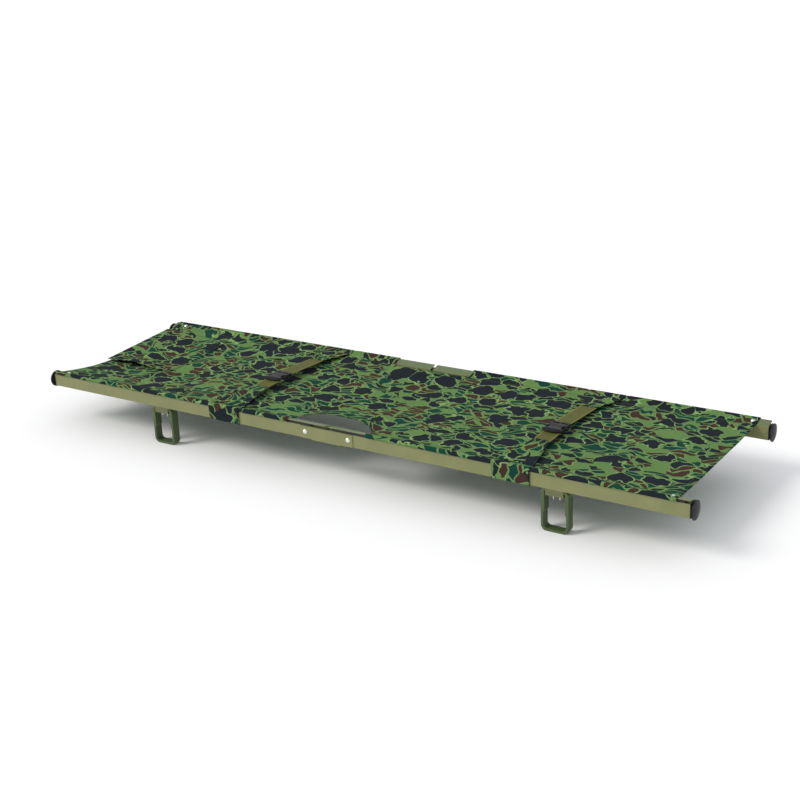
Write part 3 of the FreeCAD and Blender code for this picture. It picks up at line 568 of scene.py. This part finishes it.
def sag_at(x):
    """How far the canvas hangs down at mid width."""
    if x < 0:
        return MIDDLE_SAG + (HEAD_SAG - MIDDLE_SAG) * ease(x / HEAD_EDGE) ** 1.2
    return MIDDLE_SAG + (FOOT_SAG - MIDDLE_SAG) * x / FOOT_EDGE


def rest_of(share):
    """One share of a cut-out's rounded outline from the other."""
    return (1 - min(1, share) ** CUTOUT_FULLNESS) ** (1 / CUTOUT_FULLNESS)


def cutout_edge(x):
    """How far from the middle the canvas reaches at a place along its length."""
    if abs(x) >= CUTOUT_HALF:
        return DECK_HALF
    return min(DECK_HALF, OUTER - CUTOUT_DEPTH * rest_of(abs(x) / CUTOUT_HALF))


LIP_HALF = CUTOUT_HALF * rest_of((OUTER - DECK_HALF) / CUTOUT_DEPTH)


def lip_lift(x, y):
    """How far the canvas curls up towards the free edge of a hand cut-out."""
    if abs(x) >= LIP_HALF:
        return 0.0
    near = ease((abs(y) - cutout_edge(x) + LIP_REACH) / LIP_REACH)
    rise = LIP_RISE["back" if y > 0 else "front"]
    return rise * (1 - (abs(x) / LIP_HALF) ** LIP_FULLNESS) * near


def deck_z(x, y):
    """Height of the canvas between the rails, with its sag and soft creases."""
    hang = 1 - min(1, abs(y) / DECK_HALF) ** 2.2
    crease = noise.noise(Vector((x * 3.1, y * 7.0, 0.4))) * SOFT_CREASE
    crease += noise.noise(Vector((x * 9.0, y * 16.0, 2.7))) * FINE_CREASE
    return DECK_TOP - sag_at(x) * hang + crease * hang + lip_lift(x, y)


def fold_lift(depth, width=FOLD_WIDTH):
    """Extra height over a turned-in border, at a distance from the sheet's edge."""
    return FOLD_RISE * ease((width + FOLD_STEP - depth) / FOLD_STEP)


def deck_surface(x, y):
    ends = min(x - HEAD_EDGE, FOOT_EDGE - x)
    sides = cutout_edge(x) - abs(y)
    beside_cutout = fold_lift(sides, EDGE_FOLD) if abs(x) < LIP_HALF else 0.0
    return deck_z(x, y) + max(fold_lift(ends), beside_cutout)


DECK_PITCH = 0.011


def stations(start, stop, pitch):
    """Places along the length, closer together at the end folds and the cut-outs' steep ends."""
    places = set(between(start, stop, max(2, round((stop - start) / pitch))))
    places |= {CUTOUT_HALF * math.sin(math.radians(angle)) for angle in range(-90, 91, 3)}
    places |= {HEAD_EDGE + FOLD_WIDTH, HEAD_EDGE + FOLD_WIDTH + FOLD_STEP}
    places |= {FOOT_EDGE - FOLD_WIDTH, FOOT_EDGE - FOLD_WIDTH - FOLD_STEP}
    return sorted({round(x, 6) for x in places if start <= x <= stop})


def deck_row(x):
    """Places across the deck, with an extra pair that marks the fold along each edge."""
    edge = cutout_edge(x)
    inner = edge - EDGE_FOLD - FOLD_STEP
    half = [edge, edge - EDGE_FOLD / 2, edge - EDGE_FOLD]
    return [-y for y in half] + between(-inner, inner, 44) + half[::-1]


def edge_path(start, stop, side, inset):
    """A seam along a long edge of the deck."""
    spots = [(x, side * (cutout_edge(x) - inset)) for x in stations(start, stop, DECK_PITCH)]
    return [(x, y, deck_surface(x, y) + THREAD_LIFT) for x, y in spots]


def end_path(x):
    """A seam across the deck."""
    half = DECK_HALF - 2 * SEAM_STOP
    return [(x, y, deck_surface(x, y) + THREAD_LIFT) for y in between(-half, half, 40)]


def add_deck(name, start, stop, body, node_name, sewn_end=None):
    along = stations(start, stop, DECK_PITCH)
    grid = [[(x, y, deck_surface(x, y)) for y in deck_row(x)] for x in along]
    places = [[(x, y) for x, y, z in row] for row in grid]
    add_cloth(name, grid, places, body, [node_name])
    rows = [edge_path(start + SEAM_STOP, stop - SEAM_STOP, side, inset)
            for side in (-1, 1) for inset in EDGE_SEAMS]
    if sewn_end:
        rows.append(end_path(sewn_end))
    add_stitches(name + "_stitches", rows, body)


def add_gusset(end_name, end):
    """The slack canvas under a fold line, which covers the turn when the stretcher is doubled up."""
    pin_x, pin_z = end * SPLIT, RAIL_UNDER + PIN_RISE
    reach = cutout_edge(0) - GUSSET_INSET
    angles = between(0, math.radians(GUSSET_TURN), 12)
    across = between(-reach, reach, 30)
    grid, places = [], []
    for angle in angles if end > 0 else angles[::-1]:
        radii = [deck_z(pin_x, y) - GUSSET_GAP - pin_z for y in across]
        grid.append([(pin_x + end * radius * math.sin(angle), y, pin_z + radius * math.cos(angle))
                     for y, radius in zip(across, radii)])
        places.append([(pin_x + end * radius * angle, y) for y, radius in zip(across, radii)])
    add_cloth(f"fold_gusset_{end_name}", grid, places, "front_link")


# ---- the canvas on the rails ----

# places across a rail are insets from its outer face, with heights above its underside
HEM_TUCK = ((0.0075, 0.0386), (0.0035, 0.0387))     # the hem's edge inside the rail's channel
HEM_CREASE, HEM_CREASE_OVER = 0.0048, 0.0005        # the line sewn down behind the roll, and its lift
HEM_SLOPE, HEM_STOP = 0.0070, 0.0012                # the flat part's inset, and its gap to the inner edge
SLEEVE_CLEAR, SLEEVE_UNDER = 0.0024, 0.0020         # a sleeve's gaps to the rail's inner face and underside
SLEEVE_LOW_OUT, SLEEVE_HIGH_OUT = 0.0034, 0.0046    # and outside the rail, at the bottom and over the hem
SLEEVE_START, SLEEVE_TOP = 0.037, 0.0520            # heights of its inner end and of its outer top corner
SLEEVE_ROUND, SLEEVE_STEP = 0.0035, 0.005           # its corners' radius, and the spacing of its points
PRESS_SPREAD, PRESS_EASE = 0.012, 0.010             # how far past a sleeve the hem is pressed, and the fade


def hem_profile():
    """The hem from inside the channel, round the flange's edge and down its slope, as inset and height."""
    inside = [(inset, RAIL_UNDER + rise) for inset, rise in HEM_TUCK]
    middle = RAIL_UNDER + HEM_ROLL_RISE
    roll = [(HEM_ROLL_INSET - HEM_ROLL * math.cos(angle), middle + HEM_ROLL_HIGH * math.sin(angle))
            for angle in between(-math.pi / 2, math.pi / 2, 12)]
    crease = (HEM_CREASE, flange_z(HEM_CREASE) + HEM_CREASE_OVER)
    slope = [(inset, flange_z(inset) + HEM_OVER) for inset in between(HEM_SLOPE, RAIL_WIDTH - HEM_STOP, 8)]
    return [*inside, *roll, crease, *slope, (OUTER - DECK_HALF, DECK_TOP)]


def path_lengths(path):
    """How far along a path each point is, counted back from its last point."""
    lengths = [0.0]
    for a, b in zip(path[:0:-1], path[-2::-1]):
        lengths.append(lengths[-1] + (Vector(a) - Vector(b)).length)
    return lengths[::-1]


def wrap_grid(profile, side, columns_x):
    """Rows of a sheet whose section across a rail is a profile, with their places on the flat cloth."""
    unrolled = path_lengths(profile)
    grid, places = [], []
    for spots in columns_x:
        row = [(x, side * (OUTER - inset), z) for x, (inset, z) in zip(spots, profile)]
        flat = [(x, side * (DECK_HALF + length)) for x, length in zip(spots, unrolled)]
        grid.append(row if side < 0 else row[::-1])
        places.append(flat if side < 0 else flat[::-1])
    return grid, places


def hem_point(point, side, strap_x):
    """A point of the hem with its ripples, pressed in where the strap's sleeve covers it."""
    x, y, z = point
    outside = max(0.0, abs(y) - OUTER)
    over = max(0.0, z - flange_z(OUTER - abs(y)))
    ripple = noise.noise(Vector((x * 26, side * 3.0, z * 40))) * HEM_RIPPLE * min(1, outside / FOLD_STEP)
    pressed = HEM_PRESS * ease((SLEEVE_HALF + PRESS_SPREAD - abs(x - strap_x)) / PRESS_EASE)
    return x, y + side * (ripple - outside * pressed), z - over * pressed


def add_hem(end_name, side_name):
    end, side = ENDS[end_name], SIDES[side_name]
    profile = hem_profile()
    far = HEAD_EDGE if end < 0 else FOOT_EDGE
    stops = [end * CUTOUT_HALF * rest_of(max(inset, 0) / CUTOUT_DEPTH) for inset, z in profile]
    shares = between(0, 1, 90) if end > 0 else between(1, 0, 90)
    columns_x = [[stop + (far - stop) * share for stop in stops] for share in shares]
    grid, places = wrap_grid(profile, side, columns_x)
    grid = [[hem_point(point, side, STRAP_X[end_name]) for point in row] for row in grid]
    quarter = f"{end_name}_{side_name}"
    add_cloth(f"{quarter}_hem", grid, places, quarter,
              [f"{quarter}_canvas_hem"], crumples=False)


def sleeve_profile():
    """The wrap from the rail's inner face, under it, up its outer face and back over the hem."""
    inner, under, top = RAIL_WIDTH + SLEEVE_CLEAR, RAIL_UNDER - SLEEVE_UNDER, RAIL_WIDTH + 0.0010
    corners = [(inner, RAIL_UNDER + SLEEVE_START), (inner, under), (-SLEEVE_LOW_OUT, under),
               (-SLEEVE_HIGH_OUT, RAIL_UNDER + SLEEVE_TOP), (top, flange_z(top) + SLEEVE_OVER)]
    return [tuple(point) for point in rounded(corners, SLEEVE_ROUND)]


def add_sleeve(end_name, side_name):
    """The canvas wrap that holds a strap to its rail."""
    side, middle = SIDES[side_name], STRAP_X[end_name]
    quarter = f"{end_name}_{side_name}"
    profile = sleeve_profile()
    fine = []
    for (a, az), (b, bz) in zip(profile, profile[1:]):
        count = max(1, round(math.hypot(b - a, bz - az) / SLEEVE_STEP))
        fine += [(a + (b - a) * i / count, az + (bz - az) * i / count) for i in range(count)]
    fine.append(profile[-1])
    across = [middle + offset for offset in border_columns(SLEEVE_HALF)]
    grid, places = wrap_grid(fine, side, [[x] * len(fine) for x in across])
    shift_along, shift_across = SLEEVE_PRINT
    places = [[(y + shift_along, x + shift_across) for x, y in row] for row in places]
    for row in grid:
        for c, (x, y, z) in enumerate(row):
            puff = noise.noise(Vector((x * 22, 5.0 + side, z * 30))) * SLEEVE_PUFF
            row[c] = (x, y + side * (puff if abs(y) > OUTER else 0), z)
    add_cloth(f"{quarter}_sleeve", grid, places, quarter,
              [f"{quarter}_strap_sleeve"], crumples=False)
    face_y = side * (OUTER + 0.0044)
    seam = [(middle + way * (SLEEVE_HALF - 0.005), face_y, RAIL_UNDER + rise)
            for way in (-1, 1) for rise in (0.004, 0.046)]
    add_stitches(f"{quarter}_sleeve_stitches", [(seam[:2], (0, side, 0)), (seam[2:], (0, side, 0))],
                 quarter, crumples=False)


# ---- the pillow pocket ----

POCKET_GAP = 0.0016
SLIT_LIFT, SLIT_BULGE = 0.007, 0.009  # how the open front edge stands up, at its corner and along it
CORNER_LIFT = 0.009                   # how far the back corner at the head end stands up


def pocket_z(x, y):
    """The pocket lies on the deck, apart from its open front edge and its taut head end."""
    along = (x - pocket_low.x) / (pocket_high.x - pocket_low.x)
    across = (y - pocket_low.y) / (pocket_high.y - pocket_low.y)
    opened = SLIT_LIFT * (1 - ease(along)) + SLIT_BULGE * math.sin(math.pi * min(1, along * 1.15)) ** 2
    slit = opened * (1 - ease(across / 0.4))
    front = deck_z(pocket_low.x, pocket_low.y) + SLIT_LIFT
    back = deck_z(pocket_low.x, pocket_high.y) + CORNER_LIFT
    taut = front + (back - front) * across - deck_z(pocket_low.x, y)
    return deck_z(x, y) + POCKET_GAP + max(slit, taut * (1 - ease(along / 0.8)))


def border_columns(half, width=0.007, count=12):
    """Offsets across a strip, with extra ones that mark its turned-in borders."""
    border = [half, half - width / 2, half - width]
    inner = half - width - FOLD_STEP
    return [-x for x in border] + between(-inner, inner, count) + border[::-1]


def add_pocket():
    start, stop = pocket_low.x, pocket_high.x
    front, back = pocket_low.y, pocket_high.y
    across = [front, front + FOLD_WIDTH] + between(front + FOLD_WIDTH + FOLD_STEP, back, 34)
    grid = [[(x, y, pocket_z(x, y) + fold_lift(y - front)) for y in across] for x in between(start, stop, 36)]
    places = [[(x, y) for x, y, z in row] for row in grid]
    add_cloth("pocket_flap", grid, places, "head_front", ["pillow_pocket"])
    inset, lengthways = 0.005, between(start + SEAM_STOP, stop, 30)
    slit_seam = [(x, front + FOLD_WIDTH - SEAM_STOP, pocket_z(x, front + FOLD_WIDTH) + FOLD_RISE)
                 for x in lengthways]
    back_seam = [(x, back - inset, pocket_z(x, back - inset) + THREAD_LIFT) for x in lengthways]
    end_seam = [(stop - inset, y, pocket_z(stop - inset, y) + THREAD_LIFT) for y in between(front, back, 30)]
    add_stitches("pocket_stitches", [slit_seam, back_seam, end_seam], "head_front")


# ---- the patient straps ----

def strap_top(y):
    """Height of the strap's upper face: straight from each sleeve up to the buckle."""
    low = flange_z(STRAP_REACH) + SLEEVE_OVER + STRAP_OVER
    if y < BUCKLE_BACK - TONGUE_LOOP:
        share = (y + OUTER - STRAP_REACH) / (BUCKLE_FRONT + OUTER - STRAP_REACH)
        return low + (RAIL_UNDER + FRONT_WEB_RISE - low) * min(share, 1)
    share = (OUTER - STRAP_REACH - y) / (OUTER - STRAP_REACH - BUCKLE_BACK)
    return low + (RAIL_UNDER + BACK_WEB_RISE - low) * min(share, 1)


def strap_strip(name, end_name, start, stop, half_at, body, slot, under=0.0, border=0.007, replaced=()):
    """A length of strap along Y, with turned-in borders. half_at gives its half width at a place."""
    middle = STRAP_X[end_name]
    shift_along, shift_across = STRAP_PRINT
    along = between(start, stop, max(4, round((stop - start) / 0.006)))
    offsets = border_columns(WEB_HALF, border * 0.7, 8)
    shares = [offset / WEB_HALF for offset in offsets]
    grid, places = [], []
    for share in shares:
        row, flat = [], []
        for y in along:
            half = half_at(y)
            edge = half * (1 - abs(share))
            bow = noise.noise(Vector((share * 1.5, y * 18, middle * 7))) * WEB_WAVE
            lift = fold_lift(edge, border) * (0.8 if slot == "camo_canvas" else 0.3)
            row.append((middle + share * half, y, strap_top(y) - under + bow + lift))
            flat.append((y + shift_along, middle + share * half + shift_across))
        grid.append(row)
        places.append(flat)
    piece = add_cloth(name, grid, places, body, replaced, slot,
                      thickness=WEB_THICK)
    selvedge = piece.data.attributes.new("selvedge", "FLOAT", "POINT")
    at_edge = [float(abs(offset) >= WEB_HALF - border) for offset in offsets for y in along]
    selvedge.data.foreach_set("value", at_edge)


def taper(narrow_at, wide_at):
    """Half width that runs from the webbing's to the sleeve's."""
    return lambda y: WEB_HALF + (SLEEVE_HALF - WEB_HALF) * (y - narrow_at) / (wide_at - narrow_at)


def strap_stitches(end_name, flap_end, wide_at):
    """A row along each edge of a flap, and a box with a cross where the webbing is sewn in."""
    middle, way = STRAP_X[end_name], 1 if wide_at > flap_end else -1
    half_at = taper(flap_end, wide_at)
    rows = []
    for sign in (-1, 1):
        rows.append([(middle + sign * (half_at(y) - 0.0035), y, strap_top(y) + 0.0006)
                     for y in between(flap_end + way * SEAM_STOP, wide_at, 16)])
    near, far, half = flap_end + way * 0.003, flap_end + way * 0.026, WEB_HALF - 0.005
    box = [(-half, near), (half, near), (half, far), (-half, far), (-half, near)]
    cross = ([(-half, near), (half, far)], [(half, near), (-half, far)])
    for corners in (box, *cross):
        rows.append([(middle + x, y, strap_top(y) + 0.0004) for x, y in corners])
    return rows


def add_strap(end_name):
    body, narrow = f"{end_name}_front", lambda y: WEB_HALF
    front_wide, back_wide = -OUTER + STRAP_REACH, OUTER - STRAP_REACH
    strap_strip(f"{end_name}_strap_front_flap", end_name, front_wide, FRONT_TAPER_END,
                taper(FRONT_TAPER_END, front_wide), body, "camo_canvas")
    strap_strip(f"{end_name}_strap_back_flap", end_name, BACK_TAPER_END, back_wide,
                taper(BACK_TAPER_END, back_wide), body, "camo_canvas")
    below_flap, doubled = WEB_THICK + 0.0001, 2 * WEB_THICK + 0.0006
    strap_strip(f"{end_name}_front_webbing", end_name, FRONT_TAPER_END - SEWN_IN, BUCKLE_FRONT + 0.009,
                narrow, body, "olive_webbing", under=below_flap, border=SELVEDGE,
                replaced=[f"{end_name}_strap_webbing"])
    strap_strip(f"{end_name}_webbing_tail", end_name, BUCKLE_FRONT - TAIL_LENGTH, BUCKLE_FRONT + 0.008,
                narrow, body, "olive_webbing", under=doubled, border=SELVEDGE)
    strap_strip(f"{end_name}_back_webbing", end_name, BUCKLE_BACK - TONGUE_LOOP, BACK_TAPER_END + SEWN_IN,
                narrow, body, "olive_webbing", under=below_flap, border=SELVEDGE)
    rows = strap_stitches(end_name, FRONT_TAPER_END, front_wide)
    rows += strap_stitches(end_name, BACK_TAPER_END, back_wide)
    middle = STRAP_X[end_name]
    seam_half = WEB_HALF - 0.003
    for distance in TAIL_SEAMS:
        y = BUCKLE_FRONT - distance
        rows.append([(middle + x, y, strap_top(y) - WEB_THICK + 0.0003)
                     for x in between(-seam_half, seam_half, 6)])
    add_stitches(f"{end_name}_strap_stitches", rows, body)


# ---- the buckles ----

RING_POINTS = 32

# along the socket: distance from its lip, half width, underside and top above the rails' underside
SOCKET_SECTIONS = (
    (-0.0080, 0.0270, 0.0580, 0.0592), (-0.0072, 0.0296, 0.0574, 0.0600), (-0.0045, 0.0314, 0.0570, 0.0612),
    (0.0005, 0.0320, 0.0564, 0.0628), (0.0045, 0.0318, 0.0552, 0.0638), (0.0090, 0.0306, 0.0536, 0.0640),
    (0.0118, 0.0286, 0.0532, 0.0638), (0.0138, 0.0224, 0.0530, 0.0634), (0.0165, 0.0206, 0.0530, 0.0632),
    (0.0280, 0.0202, 0.0530, 0.0632), (0.0320, 0.0212, 0.0530, 0.0632), (0.0350, 0.0262, 0.0530, 0.0634),
    (0.0380, 0.0290, 0.0530, 0.0636), (0.0430, 0.0292, 0.0532, 0.0632), (0.0440, 0.0282, 0.0540, 0.0622),
)
# how far the ends of the socket's lip sweep back, and the stretch over which that fades
LIP_BOW, LIP_BOW_START, LIP_BOW_END = 0.0060, -0.0080, 0.0090
# along a prong from the tongue forwards: distance from the lip, and distance of its middle from the buckle's
PRONG_PATH = ((0.0440, 0.0262), (0.0395, 0.0264), (0.0340, 0.0272), (0.0280, 0.0282), (0.0220, 0.0286),
              (0.0170, 0.0276), (0.0140, 0.0262))
PRONG_HALF, PRONG_LOW, PRONG_HIGH = 0.0021, 0.0548, 0.0608
TONGUE_LOW, TONGUE_HIGH = 0.0542, 0.0622
# the tongue's plate: cell borders across it, and along it from its root
TONGUE_ACROSS = (-0.0285, -0.0235, -0.0025, 0.0025, 0.0235, 0.0285)
TONGUE_ROOT, TONGUE_SLOT_START, TONGUE_SLOT_END = 0.0444, 0.0072, 0.0128
TONGUE_SLOTS = [(1, 1), (3, 1)]


def loft(name, rings, material):
    """A closed skin over rings with the same number of points."""
    count = len(rings[0])
    vertices = [point for ring in rings for point in ring]
    last = (len(rings) - 1) * count
    faces = []
    for start in range(0, last, count):
        for i in range(count):
            j = (i + 1) % count
            faces.append((start + i, start + j, start + count + j, start + count + i))
    faces.append(tuple(range(count))[::-1])
    faces.append(tuple(range(last, last + count)))
    return add_piece(name, vertices, faces, material)


def oval(half_wide, half_high, power=0.42):
    """A rounded rectangle's section as pairs of across and up."""
    section = []
    for i in range(RING_POINTS):
        angle = 2 * math.pi * i / RING_POINTS
        across, up = math.cos(angle), math.sin(angle)
        section.append((half_wide * math.copysign(abs(across) ** power, across),
                        half_high * math.copysign(abs(up) ** power, up)))
    return section


def join(name, pieces):
    """One piece from several."""
    for piece in bpy.context.selected_objects:
        piece.select_set(False)
    for piece in pieces:
        piece.select_set(True)
    bpy.context.view_layer.objects.active = pieces[0]
    bpy.ops.object.join()
    pieces[0].name = name
    pieces[0].data.name = name
    return pieces[0]


def plastic(piece, body, node_name):
    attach(piece, body)
    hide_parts(node_name)


def add_socket(end_name):
    middle = STRAP_X[end_name]
    rings = []
    for depth, half, low, high in SOCKET_SECTIONS:
        bow = LIP_BOW * (1 - ease((depth - LIP_BOW_START) / (LIP_BOW_END - LIP_BOW_START)))
        ring = []
        for across, up in oval(half, (high - low) / 2):
            curve = bow * (across / half) ** 2
            ring.append((middle + across, BUCKLE_FRONT + depth + curve, RAIL_UNDER + (low + high) / 2 + up))
        rings.append(ring[::-1])
    socket = loft(f"{end_name}_socket", rings, "buckle_plastic")
    plastic(socket, f"{end_name}_buckle", f"{end_name}_buckle_socket")


def slotted_plate(name, across, along, holes, low, high):
    """A plate with rectangular holes, where holes lists the missing cells."""
    vertices = [(x, y, z) for z in (low, high) for y in along for x in across]
    wide, deep = len(across), len(along)
    level = wide * deep
    cells = {(i, j) for i in range(wide - 1) for j in range(deep - 1)} - set(holes)
    faces = []
    for i, j in sorted(cells):
        a, b = j * wide + i, j * wide + i + 1
        c, d = (j + 1) * wide + i + 1, (j + 1) * wide + i
        faces += [(a, d, c, b), (a + level, b + level, c + level, d + level)]
        neighbours = ((i, j - 1), (i + 1, j), (i, j + 1), (i - 1, j))
        for start, stop, beside in zip((a, b, c, d), (b, c, d, a), neighbours):
            if beside not in cells:
                faces.append((start, stop, stop + level, start + level))
    plate = add_piece(name, vertices, faces, "buckle_plastic", smooth=False)
    bevel = plate.modifiers.new("bevel", "BEVEL")
    bevel.width = 0.0009
    bevel.segments = 3
    bpy.context.view_layer.objects.active = plate
    bpy.ops.object.modifier_apply(modifier="bevel")
    return plate


def add_tongue(end_name):
    middle = STRAP_X[end_name]
    root = BUCKLE_FRONT + TONGUE_ROOT
    across = [middle + x for x in TONGUE_ACROSS]
    along = [root, root + TONGUE_SLOT_START, root + TONGUE_SLOT_END, BUCKLE_BACK]
    low, high = RAIL_UNDER + TONGUE_LOW, RAIL_UNDER + TONGUE_HIGH
    parts = [slotted_plate("plate", across, along, TONGUE_SLOTS, low, high)]
    for side in (-1, 1):
        rings = []
        for index, (depth, offset) in enumerate(PRONG_PATH):
            slim = 0.55 if index == len(PRONG_PATH) - 1 else 1.0
            section = oval(PRONG_HALF * slim, (PRONG_HIGH - PRONG_LOW) / 2 * slim, 0.6)
            height = RAIL_UNDER + (PRONG_LOW + PRONG_HIGH) / 2
            rings.append([(middle + side * offset + x, BUCKLE_FRONT + depth, height + z) for x, z in section])
        parts.append(loft(f"prong_{side}", rings, "buckle_plastic"))
    tongue = join(f"{end_name}_tongue", parts)
    plastic(tongue, f"{end_name}_buckle", f"{end_name}_buckle_tongue")


# ---- floor and light ----

def add_stage():
    """A pale floor, a soft sun from the head end and an even sky."""
    bpy.ops.mesh.primitive_plane_add(size=60)
    floor = bpy.context.object
    floor.name = "floor"
    material, tree, shader = new_material("floor", 0.9)
    shader.inputs["Base Color"].default_value = colour(FLOOR_COLOUR)
    shader.inputs["Specular IOR Level"].default_value = 0.0
    floor.data.materials.append(material)
    world = bpy.data.worlds.new("studio")
    bpy.context.scene.world = world
    world.use_nodes = True
    background = world.node_tree.nodes["Background"]
    background.inputs["Color"].default_value = (1, 1, 1, 1)
    background.inputs["Strength"].default_value = SKY_STRENGTH
    light = bpy.data.lights.new("key", "SUN")
    light.energy = SUN_STRENGTH
    light.color = SUN_COLOUR
    light.angle = math.radians(SUN_SPREAD)
    lamp = bpy.data.objects.new("key", light)
    lamp.rotation_euler = Vector(SUN_FROM).to_track_quat("Z", "Y").to_euler()
    bpy.context.scene.collection.objects.link(lamp)
    bpy.context.scene.view_settings.view_transform = "Standard"


# ---- the whole picture ----

finish_cad_nodes()
add_camera()
add_stage()
add_deck("deck_head", HEAD_EDGE, -SPLIT, "head_front", "canvas_head",
         HEAD_EDGE + FOLD_WIDTH - 0.003)
add_deck("deck_middle", -SPLIT, SPLIT, "front_link", "canvas_middle")
add_deck("deck_foot", SPLIT, FOOT_EDGE, "foot_front", "canvas_foot",
         FOOT_EDGE - FOLD_WIDTH + 0.003)
add_pocket()
for end_name, end in ENDS.items():
    add_gusset(end_name, end)
    for side_name in SIDES:
        add_hem(end_name, side_name)
        add_sleeve(end_name, side_name)
    add_strap(end_name)
    add_socket(end_name)
    add_tongue(end_name)
